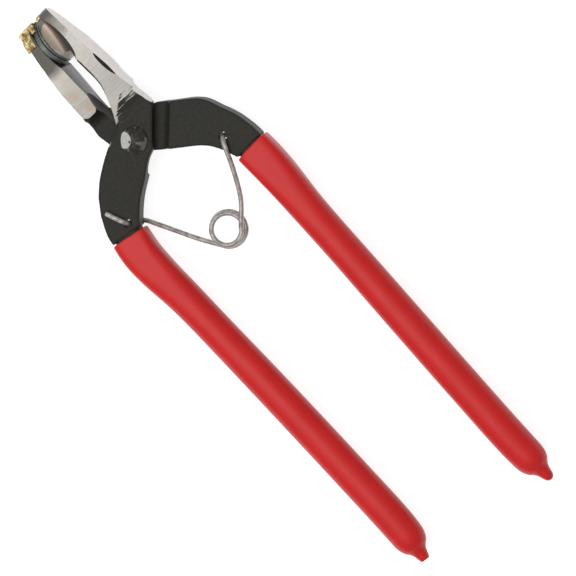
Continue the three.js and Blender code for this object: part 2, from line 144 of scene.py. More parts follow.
# ---- curves ----
def smooth_line(points, steps=8):
    """A centripetal Catmull-Rom curve through the points, with that many steps to each span."""
    p = np.array(points, float)
    p = np.vstack([2 * p[0] - p[1], p, 2 * p[-1] - p[-2]])
    t = np.concatenate([[0], np.cumsum(np.sqrt(np.linalg.norm(np.diff(p, axis=0), axis=1)))])
    made = []
    for i in range(1, len(p) - 2):
        for s in np.linspace(t[i], t[i + 1], steps, endpoint=False):
            a = [
                p[i + k] + (p[i + k + 1] - p[i + k]) * (s - t[i + k]) / (t[i + k + 1] - t[i + k])
                for k in (-1, 0, 1)
            ]
            b = [
                a[k] + (a[k + 1] - a[k]) * (s - t[i + k - 1]) / (t[i + k + 1] - t[i + k - 1])
                for k in (0, 1)
            ]
            made.append(b[0] + (b[1] - b[0]) * (s - t[i]) / (t[i + 1] - t[i]))
    made.append(p[-2])
    return np.array(made)


def runs(*parts):
    """An outline from runs of points: a run of three or more is smooth, and runs join by straight lines."""
    made = []
    for part in parts:
        made.extend(smooth_line(part) if len(part) > 2 else np.array(part, float))
    return [tuple(q) for q in made]


def bite(offset, start, end, steps=24):
    """The bite line's bowed curve, moved towards the lower jaw by offset."""
    return [
        (x, BITE_CREST_Y - (x - BITE_CREST) ** 2 / (2 * BITE_RADIUS) + offset)
        for x in np.linspace(start, end, steps)
    ]


# ---- meshes, in millimetres ----
def mesh_object(name, vertices, faces, finish=FORGED):
    """A new object with its faces pointing out and marked with a finish."""
    mesh = bpy.data.meshes.new(name)
    mesh.from_pydata([tuple(v) for v in vertices], [], faces)
    work = bmesh.new()
    work.from_mesh(mesh)
    bmesh.ops.recalc_face_normals(work, faces=work.faces)
    work.to_mesh(mesh)
    work.free()
    mark(mesh, finish)
    made = bpy.data.objects.new(name, mesh)
    bpy.context.scene.collection.objects.link(made)
    return made


def mark(mesh, finish):
    """Gives every face of a mesh one finish."""
    layer = mesh.attributes.get("finish") or mesh.attributes.new("finish", "FLOAT", "FACE")
    layer.data.foreach_set("value", np.full(len(mesh.polygons), float(finish), np.float32))


def skin(rings, finish=FORGED, name="skin"):
    """A closed skin through rings of equal point counts, with a flat cap on each end."""
    count = len(rings[0])
    faces = []
    for r in range(len(rings) - 1):
        for i in range(count):
            a, b = r * count + i, r * count + (i + 1) % count
            faces.append((a, b, b + count, a + count))
    last = (len(rings) - 1) * count
    faces.append(tuple(reversed(range(count))))
    faces.append(tuple(range(last, last + count)))
    return mesh_object(name, [q for ring in rings for q in ring], faces, finish)


def prism(outline, low, high, finish=FORGED):
    """An outline in X and Y, standing from one height to another."""
    return skin([[(x, y, h) for x, y in outline] for h in (low, high)], finish)


def slab(far, near, low, high, finish=FORGED):
    """A prism whose outline changes from far, at one height, to near, at another."""
    return skin([[(x, y, low) for x, y in far], [(x, y, high) for x, y in near]], finish)


def side_prism(outline, low, high, finish=FORGED):
    """An outline in X and Z, running from one Y to another."""
    return skin([[(x, y, z) for x, z in outline] for y in (low, high)], finish)


def ball(centre, size, finish=FORGED, degrees=0.0, slope=0.0, roll=0.0, detail=48):
    """An ellipsoid, rolled about its length along X, then tipped about Y and turned about Z."""
    turn = (
        Matrix.Rotation(math.radians(degrees), 4, "Z")
        @ Matrix.Rotation(math.radians(slope), 4, "Y")
        @ Matrix.Rotation(math.radians(roll), 4, "X")
    )
    rings = []
    for i in range(1, detail // 2):
        around = math.pi * i / (detail // 2)
        ring = []
        for k in range(detail):
            a = 2 * math.pi * k / detail
            out = math.sin(around)
            shares = (math.cos(around), out * math.cos(a), out * math.sin(a))
            point = Vector([share * half for share, half in zip(shares, size)])
            ring.append(Vector(centre) + turn @ point)
        rings.append(ring)
    return skin(rings, finish)


def tube(points, radii, sides=20, finish=FORGED, name="tube"):
    """A round bar along points, with a radius for each."""
    p = [Vector(q) for q in points]
    along = [(p[min(i + 1, len(p) - 1)] - p[max(i - 1, 0)]).normalized() for i in range(len(p))]
    across = along[0].orthogonal().normalized()
    rings = []
    for q, d, radius in zip(p, along, radii):
        across = (across - across.dot(d) * d).normalized()
        other = d.cross(across)
        rings.append([
            q + radius * (math.cos(a) * across + math.sin(a) * other)
            for a in (2 * math.pi * k / sides for k in range(sides))
        ])
    return skin(rings, finish, name)


def apply_modifiers(obj):
    """Keeps what the modifiers made as the object's own mesh."""
    graph = bpy.context.evaluated_depsgraph_get()
    made = bpy.data.meshes.new_from_object(obj.evaluated_get(graph))
    obj.modifiers.clear()
    obj.data = made
    return obj


def combine(obj, *others, operation="DIFFERENCE"):
    """Cuts the others from obj, or joins them to it, and removes them."""
    for other in others:
        step = obj.modifiers.new("step", "BOOLEAN")
        step.operation, step.object, step.solver = operation, other, "MANIFOLD"
        before = len(obj.data.polygons)
        apply_modifiers(obj)
        if before and not obj.data.polygons:
            raise RuntimeError(f"{operation} with {other.name} left nothing of {obj.name}")
        bpy.data.objects.remove(other)
    return obj


def forge(obj, voxel, passes, bump=0.0, scale=0.3):
    """Turns sharp solids into one soft-edged skin. How far each point sank is kept as its edge wear."""
    step = obj.modifiers.new("skin", "REMESH")
    step.mode, step.voxel_size = "VOXEL", voxel
    apply_modifiers(obj)
    mesh = obj.data
    start = np.zeros(len(mesh.vertices) * 3, np.float32)
    mesh.vertices.foreach_get("co", start)
    step = obj.modifiers.new("soften", "SMOOTH")
    step.factor, step.iterations = 0.5, passes
    apply_modifiers(obj)
    mesh = obj.data
    end = np.zeros(len(mesh.vertices) * 3, np.float32)
    mesh.vertices.foreach_get("co", end)
    sunk = np.linalg.norm((end - start).reshape(-1, 3), axis=1)
    layer = mesh.attributes.new("edge", "FLOAT", "POINT")
    layer.data.foreach_set("value", np.clip(sunk / (voxel * 1.6), 0, 1).astype(np.float32))
    if bump:
        normals = np.array([v.normal for v in mesh.vertices], float)
        points = end.reshape(-1, 3).astype(float)
        lift = np.array([noise.fractal(Vector(q) * scale, 1.0, 2.0, 4) for q in points])
        points += normals * (lift * bump)[:, None]
        mesh.vertices.foreach_set("co", points.astype(np.float32).ravel())
        mesh.update()
    mark(mesh, FORGED)
    return obj


def sharpen(obj, degrees=28.0):
    """Smooth shading, with hard edges where faces turn sharply or change their finish."""
    mesh = obj.data
    work = bmesh.new()
    work.from_mesh(mesh)
    bmesh.ops.dissolve_degenerate(work, dist=0.0005, edges=work.edges)
    layer = work.faces.layers.float.get("finish")
    for face in work.faces:
        face.smooth = True
    limit = math.radians(degrees)
    for edge in work.edges:
        if len(edge.link_faces) == 2:
            a, b = edge.link_faces
            changed = layer is not None and a[layer] != b[layer]
            edge.smooth = not changed and edge.calc_face_angle(0.0) < limit
    work.to_mesh(mesh)
    work.free()
    return obj


def place(obj, name, material, body, slot, *nodes):
    """Names a finished piece, gives it its material, moves it into the frame, hides the frame's parts that
    it stands for and hangs it on its body.
    """
    sharpen(obj)
    obj.name = obj.data.name = name
    obj.data.transform(Matrix.Translation(PIVOT) @ Matrix.Scale(MM, 4))
    obj.data.materials.clear()
    obj.data.materials.append(material)
    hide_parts(*nodes)
    if body:
        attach(obj, body)
    return obj


# ---- shader sums ----
class Wire:
    """A node's output. Python's operators on it add Math nodes."""

    def __init__(self, tree, socket):
        self.tree = tree
        self.socket = socket

    def math(self, operation, *values, clamp=False):
        """A Math node on these values."""
        made = self.tree.nodes.new("ShaderNodeMath")
        made.operation = operation
        made.use_clamp = clamp
        for socket, value in zip(made.inputs, values):
            plug(self.tree, socket, value)
        return Wire(self.tree, made.outputs[0])

    def __add__(self, other):
        return self.math("ADD", self, other)

    def __radd__(self, other):
        return self.math("ADD", other, self)

    def __sub__(self, other):
        return self.math("SUBTRACT", self, other)

    def __rsub__(self, other):
        return self.math("SUBTRACT", other, self)

    def __mul__(self, other):
        return self.math("MULTIPLY", self, other)

    def __rmul__(self, other):
        return self.math("MULTIPLY", other, self)

    def __gt__(self, other):
        return self.math("GREATER_THAN", self, other)

    def __lt__(self, other):
        return self.math("LESS_THAN", self, other)

    def clamped(self):
        """The value kept between 0 and 1."""
        return self.math("ADD", self, 0.0, clamp=True)

    def ramp(self, low, high):
        """0 below low, 1 above high and smooth between them. Low may be the larger."""
        share = self.math("DIVIDE", self - low, high - low, clamp=True)
        return share * share * (3.0 - 2.0 * share)

    def near(self, middle, reach):
        """1 at a value and 0 further from it than reach."""
        return 1.0 - (self - middle).math("ABSOLUTE", self - middle).ramp(0.0, reach)


def plug(tree, socket, value):
    """Links a wire to a socket, or sets the socket to a plain value."""
    if isinstance(value, Wire):
        tree.links.new(value.socket, socket)
    else:
        socket.default_value = value


class Finish:
    """A material under construction."""

    def __init__(self, name):
        self.material = bpy.data.materials.new(name)
        self.material.use_nodes = True
        self.tree = self.material.node_tree
        self.tree.nodes.clear()
        place_in = self.add("ShaderNodeTexCoord", out="Object")
        local = self.vector("SUBTRACT", place_in, tuple(PIVOT))
        self.point = self.vector("MULTIPLY", local, (1 / MM,) * 3)
        self.x, self.y, self.z = (
            self.add("ShaderNodeSeparateXYZ", inputs={"Vector": self.point}, out=k) for k in "XYZ"
        )

    def add(self, kind, settings=None, inputs=None, out=0):
        """One node: its settings first, then its sockets, and the output asked for."""
        made = self.tree.nodes.new(kind)
        for key, value in (settings or {}).items():
            setattr(made, key, value)
        for key, value in (inputs or {}).items():
            plug(self.tree, made.inputs[key], value)
        return Wire(self.tree, made.outputs[out])

    def vector(self, operation, a, b):
        """A Vector Math node on two vectors."""
        return self.add("ShaderNodeVectorMath", {"operation": operation}, {0: a, 1: b})

    def mix(self, share, a, b):
        """Colour a where share is 0 and colour b where it is 1."""
        inputs = {0: share, 6: colour(a), 7: colour(b)}
        return self.add("ShaderNodeMix", {"data_type": "RGBA"}, inputs, out=2)

    def noise(self, scale, detail=3.0, stretch=(1.0, 1.0, 1.0), turn=0.0, rough=0.5):
        """Noise from 0 to 1, in lumps of about 1 / scale millimetres. A small stretch draws them out."""
        where = self.add(
            "ShaderNodeMapping",
            {"vector_type": "POINT"},
            {"Vector": self.point, "Rotation": (0.0, 0.0, math.radians(turn)), "Scale": stretch},
        )
        return self.add(
            "ShaderNodeTexNoise",
            {"noise_dimensions": "3D"},
            {"Vector": where, "Scale": scale, "Detail": detail, "Roughness": rough},
        )

    def read(self, name):
        """A number kept on the mesh."""
        settings = {"attribute_type": "GEOMETRY", "attribute_name": name}
        return self.add("ShaderNodeAttribute", settings, out="Fac")

    def bump(self, height, millimetres, after=None):
        """A bump of that height, on top of another bump if one is given."""
        inputs = {"Height": height, "Distance": millimetres * MM, "Strength": 1.0}
        if after is not None:
            inputs["Normal"] = after
        return self.add("ShaderNodeBump", inputs=inputs)

    def surface(self, **sockets):
        """The Principled shader, whose sockets are given by name with _ for each space."""
        inputs = {key.replace("_", " "): value for key, value in sockets.items()}
        shader = self.add("ShaderNodeBsdfPrincipled", inputs=inputs)
        output = self.tree.nodes.new("ShaderNodeOutputMaterial")
        plug(self.tree, output.inputs["Surface"], shader)
        return self.material


def colour(value):
    """A colour as the sockets want it: a wire as it is, three numbers with their alpha added."""
    return value if isinstance(value, Wire) else (*tuple(value)[:3], 1.0)


# ---- what a user may change ----
def colour_prop(label, description, default):
    """A colour the panel shows."""
    return bpy.props.FloatVectorProperty(
        name=label, description=description, default=default, subtype="COLOR", size=3, min=0.0, max=1.0
    )


class PliersSteel(bpy.types.PropertyGroup):
    """The levers' steel."""

    skin_step: bpy.props.FloatProperty(
        name="Skin step",
        description="Size of the forged skin's mesh, in millimetres",
        default=0.3,
        min=0.15,
        max=1.0,
    )
    scale_colour: colour_prop("Scale", "Black oxide on the forged skin", (0.020, 0.020, 0.017))
    bare_colour: colour_prop("Bare steel", "Ground steel", (0.60, 0.58, 0.54))
    straw_colour: colour_prop("Straw", "Light heat tint", (0.52, 0.41, 0.31))
    brown_colour: colour_prop("Brown", "Deep heat tint", (0.16, 0.115, 0.075))


class PliersTips(bpy.types.PropertyGroup):
    """The carbide inserts and their braze."""

    carbide_colour: colour_prop("Carbide", "Diamond-ground carbide", (0.20, 0.225, 0.20))
    braze_colour: colour_prop("Braze", "Brass braze", (0.84, 0.66, 0.32))


class PliersGrips(bpy.types.PropertyGroup):
    """The dipped vinyl grips and the spring."""

    vinyl_colour: colour_prop("Vinyl", "Red dip vinyl", (0.47, 0.009, 0.009))
    wire_colour: colour_prop("Wire", "Drawn spring wire", (0.56, 0.53, 0.50))


class PliersStage(bpy.types.PropertyGroup):
    """Floor, lights and camera."""

    floor_colour: colour_prop("Floor", "Pale floor, lit from below as a light table is", (0.25, 0.25, 0.25))
    floor_glow: bpy.props.FloatProperty(
        name="Floor glow",
        description="How bright the table shines by itself",
        default=0.85,
        min=0.0,
        max=2.0,
    )
    lens: bpy.props.FloatProperty(
        name="Lens",
        description="Focal length of the camera",
        default=600.0,
        min=50.0,
        max=1000.0,
        unit="CAMERA",
    )


# ---- materials ----
def lever_steel(name, settings, upper):
    """Black oxide on the forged skin, bare steel where it is ground, and heat tints around the tip, with
    painted light and shade in the upper jaw's hollow.
    """
    s = Finish(name)
    finish = s.read("finish")
    edge = s.read("edge")

    def only(code):
        return finish.near(code, 0.5)

    brushed, scoop_tint_and_shade = only(BRUSHED), only(TINT_AND_SHADE)
    across = s.noise(1.0, 5.0, (3.2, 0.16, 0.16), turn=-16.0, rough=0.65)
    along = s.noise(1.0, 5.0, (0.10, 3.0, 3.0), rough=0.65)
    cloud = s.noise(0.16, 3.0)
    mottle = s.noise(0.9, 5.0, rough=0.6)
    grain = s.noise(6.0, 3.0)
    cut = (finish > FORGED + 0.5) * (finish < SUNK - 0.5)

    if upper:
        reach = 7.2 + 4.5 * s.y.ramp(0.7, -5.6) - 1.3 * s.y.ramp(-5.6, -9.9)
        scratch = s.noise(1.0, 3.0, (2.3, 0.17, 0.17), turn=-16.0, rough=0.6)
        streak = (scratch - 0.5) * 15.0 * s.y.ramp(0.8, -2.5)
        run_out = (s.x + streak - reach).ramp(-0.3, 0.3)
        strip = (s.x + 0.72 * s.y).ramp(8.1, 8.5) * (s.x > 3.6)
        near_face = (s.z > 3.25) * (finish < GROUND + 0.5)
        bare = cut + (run_out.math("MAXIMUM", run_out, strip) - cut) * near_face
    else:
        bare = cut

    grey = s.mix(across.ramp(0.25, 0.75), (0.44, 0.42, 0.39), settings.bare_colour)
    warm = s.mix(cloud.ramp(0.45, 0.75) * 0.35, grey, settings.straw_colour)
    if upper:
        burn = (s.x + (cloud - 0.5) * 14.0 + (across - 0.5) * 5.0 + s.y * 0.9).ramp(29.0, 38.5)
        warm = s.mix(burn * 0.85, warm, (0.10, 0.088, 0.075))
    else:
        patch = s.noise(0.30, 2.0)
        straw = patch.ramp(0.52, 0.66) * 0.75
        warm = s.mix(straw, warm, settings.straw_colour)
        smoke = (s.x + (cloud - 0.5) * 5.0).ramp(28.0, 32.5) * (s.z > 0.0)
        warm = s.mix(smoke * 0.92, warm, (0.085, 0.082, 0.072))
    lined = s.mix(along.ramp(0.3, 0.7), (0.19, 0.187, 0.187), (0.34, 0.335, 0.335))
    lined = s.mix((s.x + 0.25 * s.z).ramp(19.0, 14.0), lined, (0.03, 0.03, 0.026))
    # Painted light and shade in the upper jaw's hollow: over its brown heat tint, the side towards the
    # insert is painted a pale tan as if lit, and the steep wall towards the back is painted near black as
    # shade.
    height = s.y + 0.08 * s.x + (cloud - 0.5) * 1.2
    tint_with_painted_light = s.mix(height.ramp(-0.9, -0.1), settings.brown_colour, (0.70, 0.56, 0.47))
    tint_with_painted_light = s.mix(height.ramp(-0.95, -1.45), tint_with_painted_light, (0.05, 0.045, 0.038))
    soot = s.mix(mottle.ramp(0.3, 0.7), (0.075, 0.075, 0.066), (0.13, 0.13, 0.115))
    steel = s.mix(brushed, warm, lined)
    polished = s.mix(across.ramp(0.3, 0.7), (0.62, 0.58, 0.56), (0.74, 0.70, 0.685))
    steel = s.mix(only(POLISHED), steel, polished)
    steel = s.mix(scoop_tint_and_shade, steel, tint_with_painted_light)
    steel = s.mix(only(SCORCHED), steel, soot)

    olive = s.mix(mottle.ramp(0.35, 0.7), settings.scale_colour, (0.029, 0.027, 0.021))
    speck = s.noise(2.2, 2.0).ramp(0.74, 0.80) * cloud.ramp(0.5, 0.65)
    worn = (edge.ramp(0.35, 1.0) * (0.35 + 0.65 * mottle)).clamped()
    scale = s.mix((worn * 0.75 + speck * 0.5).clamped(), olive, (0.30, 0.27, 0.25))

    colour_all = s.mix(bare, scale, steel)
    rough_bare = 0.30 + 0.16 * across + 0.1 * cloud
    rough_scale = 0.40 + 0.18 * mottle - 0.10 * worn
    roughness = rough_scale + (rough_bare - rough_scale) * bare
    metal = 0.25 + 0.3 * bare + 0.3 * worn * (1.0 - bare) - 0.4 * scoop_tint_and_shade
    lines = across * (1.0 - brushed) + along * brushed
    normal = s.bump(lines * bare, 0.035)
    normal = s.bump(grain * (1.0 - bare), 0.02, normal)
    normal = s.bump(mottle * (1.0 - bare), 0.06, normal)
    return s.surface(
        Base_Color=colour_all,
        Roughness=roughness,
        Metallic=metal.clamped(),
        Specular_IOR_Level=0.25,
        Normal=normal,
    )


def rivet_steel():
    """Oxide on the peened head, with bare steel on the struck facet and painted highlights in lighter
    patches on the near head.
    """
    s = Finish("rivet_steel")
    bare = s.read("finish") > GROUND - 0.5
    mottle = s.noise(1.1, 4.0, rough=0.6)
    painted_facet_highlight = s.noise(0.55, 1.0)
    dark = s.mix(mottle.ramp(0.3, 0.7), (0.022, 0.021, 0.018), (0.050, 0.048, 0.042))
    # Painted highlights: lighter blotches on the near head's dome stand in for light caught by its hammered
    # facets.
    dark = s.mix(painted_facet_highlight.ramp(0.52, 0.62) * (s.z > 0.0) * 0.6, dark, (0.20, 0.18, 0.16))
    base = s.mix(bare, dark, s.mix(mottle, (0.44, 0.44, 0.42), (0.62, 0.62, 0.59)))
    return s.surface(
        Base_Color=base,
        Roughness=0.34 + 0.12 * mottle,
        Metallic=0.45,
        Normal=s.bump(mottle, 0.05),
    )


def carbide(settings):
    """Diamond-ground carbide with fine lines and small chips in its edge."""
    s = Finish("carbide")
    lines = s.noise(1.0, 4.0, (4.0, 0.3, 0.3), turn=20.0)
    cloud = s.noise(0.35, 3.0)
    base = s.mix(cloud.ramp(0.3, 0.7), settings.carbide_colour, (0.12, 0.135, 0.12))
    base = s.mix((cloud + lines * 0.4).ramp(0.72, 0.95) * 0.6, base, (0.34, 0.35, 0.32))
    return s.surface(
        Base_Color=base, Roughness=0.34 + 0.12 * lines, Metallic=0.6, Normal=s.bump(lines, 0.02)
    )


def braze(settings):
    """Bright lumpy brass with brown flux in its hollows."""
    s = Finish("braze")
    lump = s.noise(0.55, 3.0, rough=0.5)
    flux = s.noise(0.45, 3.0, turn=40.0)
    fine = s.noise(2.4, 3.0)
    base = s.mix(lump.ramp(0.34, 0.52), (0.42, 0.27, 0.10), settings.braze_colour)
    base = s.mix(lump.ramp(0.52, 0.66), base, (0.95, 0.84, 0.56))
    base = s.mix(flux.ramp(0.40, 0.30), base, (0.10, 0.07, 0.035))
    return s.surface(
        Base_Color=base,
        Roughness=0.20 + 0.22 * fine,
        Metallic=0.85,
        Normal=s.bump(fine, 0.05, s.bump(lump, 0.35)),
    )


def spring_wire(settings):
    """Drawn wire with die lines along it."""
    s = Finish("spring_wire")
    mottle = s.noise(0.7, 4.0)
    fine = s.noise(5.0, 3.0)
    base = s.mix(mottle.ramp(0.35, 0.7), settings.wire_colour, (0.30, 0.28, 0.26))
    return s.surface(
        Base_Color=base, Roughness=0.28 + 0.14 * fine, Metallic=0.7, Normal=s.bump(fine, 0.012)
    )


def red_vinyl(settings):
    """Glossy dip vinyl with a faint orange peel."""
    s = Finish("red_vinyl")
    wave = s.noise(0.12, 3.0)
    peel = s.noise(0.8, 3.0)
    fine = s.noise(4.0, 2.0)
    base = s.mix(wave.ramp(0.3, 0.7) * 0.35, settings.vinyl_colour, (0.54, 0.013, 0.013))
    normal = s.bump(wave, 0.10)
    normal = s.bump(peel, 0.03, normal)
    normal = s.bump(fine, 0.004, normal)
    return s.surface(
        Base_Color=base,
        Roughness=0.30 + 0.08 * peel,
        IOR=1.42,
        Subsurface_Weight=0.06,
        Subsurface_Radius=(1.0, 0.2, 0.1),
        Subsurface_Scale=0.002,
        Normal=normal,
    )


# ---- shapes both levers share ----
def jaw_plan(tip, grow=0.0, start=8.0):
    """A jaw's outline in X and Z, its corners cut back at the tip. What it grows by starts from nothing."""
    side = [(8.0, HALF_THICK), (14, 4.7), (21, 6.3), (27, 7.2), (33, JAW_HALF_WIDTH)]
    flank = [(x, z) for x, z in smooth_line(side, 6) if x >= start] + [
        (tip - 2.4, JAW_HALF_WIDTH), (tip - 0.7, JAW_HALF_WIDTH - 0.8), (tip, JAW_HALF_WIDTH - 2.4)
    ]
    grown = [(x + (grow if x > tip - 2 else 0.0), z + grow * min((x - 8.0) / 6.0, 1.0)) for x, z in flank]
    return grown + [(x, -z) for x, z in reversed(grown)]


def side_waste(tip, side, finish):
    """What is ground off one side of a jaw."""
    flank = jaw_plan(tip, 0.0, 8.5)
    edge = flank[: len(flank) // 2]
    outline = edge + [(tip, 12.0), (edge[0][0], 12.0)]
    return side_prism([(x, side * z) for x, z in outline], -16, 14, finish)


def insert_plan(trim=0.0, finish=FORGED):
    """The inserts' round outline as a prism through both jaws."""
    points = []
    for k in range(96):
        a = 2 * math.pi * k / 96
        points.append((
            INSERT_CENTRE + (INSERT_HALF_LENGTH - trim) * math.cos(a),
            (INSERT_HALF_WIDTH - trim) * math.sin(a),
        ))
    return side_prism(points, -12, 12, finish)


def lap_space(side, arm_degrees, inset=0.0):
    """The half of the joint that one lever leaves for the other, with a hollow fillet up to each step."""

    def profile(foot, top, height):
        points = [(-30.0, -LAP_GAP)]
        for i in range(13):
            turn = math.pi / 2 * i / 12
            rise = (height + LAP_GAP) * math.cos(turn)
            points.append((foot - inset + (top - foot) * math.sin(turn), height - rise))
        return [(out, side * z) for out, z in points + [(top - inset, 14.0), (-30.0, 14.0)]]

    arm = side_prism(profile(STEP_FOOT, STEP_TOP, HALF_THICK), -40, 40)
    arm.data.transform(Matrix.Rotation(math.radians(arm_degrees), 4, "Z"))
    jaw = side_prism(profile(JAW_FOOT, JAW_RISE, 5.2), -40, 40)
    return combine(arm, jaw, operation="INTERSECT")


def scoop(side):
    """The hollow ground into one side of the upper jaw, down to the edge of its insert. Its faces take the
    heat tint with painted light and shade.
    """
    return ball((37.2, -3.6, side * 8.5), (8.3, 2.5, 4.4), TINT_AND_SHADE, degrees=1.5, roll=side * -12.0, detail=64)


def post(radius, at, finish=FORGED):
    """A round cutter through the tool along Z."""
    outline = [
        (at[0] + radius * math.cos(a), at[1] + radius * math.sin(a))
        for a in (2 * math.pi * k / 48 for k in range(48))
    ]
    return prism(outline, -12, 12, finish)


class Handle:
    """A handle's centreline, measured from its grip's mouth."""

    def __init__(self, line, extra=0.0):
        self.points = smooth_line([(x, y, 0.0) for x, y in line], 12)
        steps = np.linalg.norm(np.diff(self.points, axis=0), axis=1)
        self.lengths = np.concatenate([[0], np.cumsum(steps)]) - GRIP_START
        dense = smooth_line(GRIP_SECTIONS, 10)
        dense[:, 0] += np.where(dense[:, 0] > 60, extra, 0.0)
        self.sections = dense

    def at(self, distance):
        """The point that far along."""
        return Vector([np.interp(distance, self.lengths, self.points[:, k]) for k in range(3)])

    def ring(self, distance, margin=0.0, sides=64):
        """The section there, smaller all round by the margin."""
        stop = max(distance, 0.0)
        size = [np.interp(stop, self.sections[:, 0], self.sections[:, k]) for k in (1, 2, 3)]
        middle = self.at(distance)
        along = (self.at(distance + 0.5) - self.at(distance - 0.5)).normalized()
        across = Vector((-along.y, along.x, 0.0))
        half_width, half_thick, square = size[0] / 2 - margin, size[1] / 2 - margin, size[2]
        points = []
        for k in range(sides):
            a = 2 * math.pi * (k + 0.5) / sides
            c, d = math.cos(a), math.sin(a)
            out = (abs(c) ** square + abs(d) ** square) ** (-1 / square)
            points.append(middle + across * (c * out * half_width) + Vector((0, 0, d * out * half_thick)))
        return points

    def core(self):
        """The steel inside the grip, from just outside its mouth."""
        stops = [-2.6, -1.0, 0.0, *range(4, int(CORE_END), 4), CORE_END]
        return skin([self.ring(d, GRIP_WALL + 0.02, 32) for d in stops])


# ---- levers ----
def upper_lever(steel):
    """The lever whose jaw is the upper one: forged, then ground on its sides and its back."""
    plan = prism(
        runs(
            [(-18.6, 26.1)],
            [(-19.7, 15.9)],
            [(-17.9, 14.7), (-13.9, 10.4), (-10.6, 5.5), (-7.0, 0.8), (-5.8, -2.1)],
            [(3.3, -10.6)],
            [(4.0, -11.1), (5.2, -11.9), (7.4, -12.0), (9.4, -11.6), (13, -10.85), (17.7, -10.1)],
            [(17.7, -3.9)],
            [(15.3, -3.0), (11, -1.2), (8.4, 0.2), (5.8, 2.1), (3.8, 7.2), (-1.2, 15.4), (-5.1, 19.7)],
            [(-9.9, 23.1), (-15.5, 25.6), (-18.3, 26.1)],
        ),
        -HALF_THICK, HALF_THICK,
    )
    bar = prism(
        runs(
            [(8.4, -11.8), (13, -10.85), (17.7, -10.1)],
            [(21.7, -10.1), (31.2, -9.6)],
            [(UPPER_TIP + 0.2, -8.4), (UPPER_TIP - 0.1, -3.7)],
            [(29, -4.05), (20.5, -4.2), (18, -3.9), (15.3, -3.0), (11, -1.2), (8.4, 0.2)],
        ),
        -9, 9,
    )
    combine(bar, side_prism(jaw_plan(UPPER_TIP, 0.35), -14, 12), operation="INTERSECT")
    far = INSERT_CENTRE + 9
    near = INSERT_CENTRE - 9
    pad = prism([(far, -4.4), (near, -4.4), *bite(UPPER_BACK - 0.05, near, far)], -9, 9)
    combine(pad, insert_plan(-0.25), operation="INTERSECT")
    combine(plan, bar, pad, operation="UNION")
    combine(plan, lap_space(-1, ARM_ANGLE))
    body = forge(plan, steel.skin_step, 9, bump=0.05, scale=0.25)

    combine(body, back_waste())
    combine(body, boss_facet())
    end = [(UPPER_TIP, -9), (UPPER_TIP, -5.7), (UPPER_TIP - 0.4, -3.6), (60, -3.6), (60, -9)]
    combine(body, prism(end, -12, 12, SCORCHED))
    for side in (1, -1):
        combine(body, side_waste(UPPER_TIP, side, GROUND))
        corner = [(UPPER_TIP - 2.4, 7.5), (UPPER_TIP - 0.7, 6.7), (UPPER_TIP, 5.1), (60, 5.1), (60, 7.5)]
        combine(body, side_prism([(x, side * z) for x, z in corner], -16, 14, SCORCHED))
    start = INSERT_CENTRE - 9.5
    rim = prism([(start, -4.3), (60, -4.3), (60, 3), (start, 3)], -12, 12, GROUND)
    combine(rim, insert_plan(0.1, GROUND))
    combine(body, rim)
    for side in (1, -1):
        combine(body, scoop(side))
    combine(body, ball((22.2, -9.95, 6.95), (5.6, 1.25, 1.3), SUNK, degrees=4.0, slope=-10.0))
    combine(body, tube(smooth_line(INNER_EDGE), [0.45, *[0.8] * 39, 0.45], 16, SUNK))
    combine(body, lap_space(-1, ARM_ANGLE, 0.15))
    combine(body, post(2.56, (0, 0)), post(HOLE_RADIUS, UPPER_HOLE))
    combine(body, Handle(LEFT_LINE).core(), operation="UNION")
    return body


def back_waste():
    """What is ground off the upper jaw's back, which is left higher on the near side towards the tip."""
    shared = [(11.4, -16), (11.4, -11.0), (13, -10.6), (17.7, -9.85), (21.7, -9.8)]
    near = [*shared, (31.2, -9.1), (UPPER_TIP + 1, -7.7), (60, -7.7), (60, -16)]
    far = [*shared, (31.2, -8.7), (UPPER_TIP + 1, -5.4), (60, -5.4), (60, -16)]
    return slab(far, near, -9, 9, POLISHED)


def boss_facet():
    """What is ground off the top of the upper lever's boss, leaving a slope down to the lap."""
    low = [
        (3.2, -12.4), (4.9, -12.0), (7.3, -11.8), (9.4, -11.4),
        (11.2, -11.0), (13.0, -10.6), (13.0, -16), (3.2, -16),
    ]
    high = [
        (4.2, -12.4), (6.2, -11.0), (7.6, -10.4), (8.7, -10.1),
        (9.8, -9.9), (11.2, -9.8), (13.0, -16), (4.2, -16),
    ]
    return slab(low, high, -0.4, 5.4, POLISHED)


